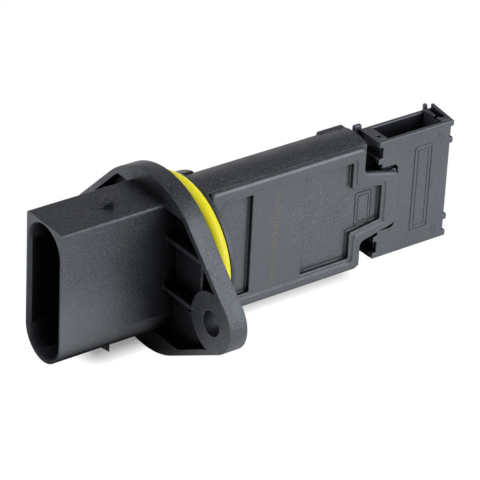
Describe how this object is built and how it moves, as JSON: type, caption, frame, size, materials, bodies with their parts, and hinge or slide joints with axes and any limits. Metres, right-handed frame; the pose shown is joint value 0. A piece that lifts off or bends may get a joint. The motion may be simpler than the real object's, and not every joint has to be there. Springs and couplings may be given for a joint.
{
  "type": "mass airflow sensor",
  "caption": "Plug-in mass airflow sensor: flat finger with covered electronics and a bypass channel at its tip, on a screwed flange with a yellow seal ring and a plug socket.",
  "frame": {"origin": "centre of the flange's mounting face, on the spigot's axis", "axes": "+X along the finger from the plug to the tip, -Y toward the electronics cover, +Z toward the inlet edge"},
  "size_m": [0.11, 0.0638, 0.044],
  "materials": {
    "housing_plastic": "fine grained, black glass-filled moulding",
    "cover_plastic": "fine grained, black",
    "channel_plastic": "fine grained, black",
    "seal_rubber": "smooth, bright yellow",
    "adhesive": "cured silicone, grey",
    "plate_metal": "rolled",
    "ceramic": "fired ceramic",
    "chip_black": "moulded",
    "silicon": "polished",
    "capacitor": "fired ceramic",
    "terminal": "tin plated",
    "ribbon": "bright"
  },
  "bodies": {
    "root": {"plug_housing": "housing_plastic", "seal_ring": "seal_rubber", "electronics_cover": "cover_plastic", "cover_adhesive": "adhesive", "channel_body": "channel_plastic", "channel_cover": "channel_plastic", "channel_back_cover": "channel_plastic", "base_plate": "plate_metal", "hybrid_board": "ceramic", "evaluation_chip": "chip_black", "sensor_chip": "silicon", "chip_cap": "chip_black", "capacitor_1": "capacitor", "capacitor_2": "capacitor", "pin_1": "terminal", "bond_ribbon_1": "ribbon", "pin_2": "terminal", "bond_ribbon_2": "ribbon", "pin_3": "terminal", "bond_ribbon_3": "ribbon", "pin_4": "terminal", "bond_ribbon_4": "ribbon", "pin_5": "terminal", "bond_ribbon_5": "ribbon"}
  },
  "joints": []
}
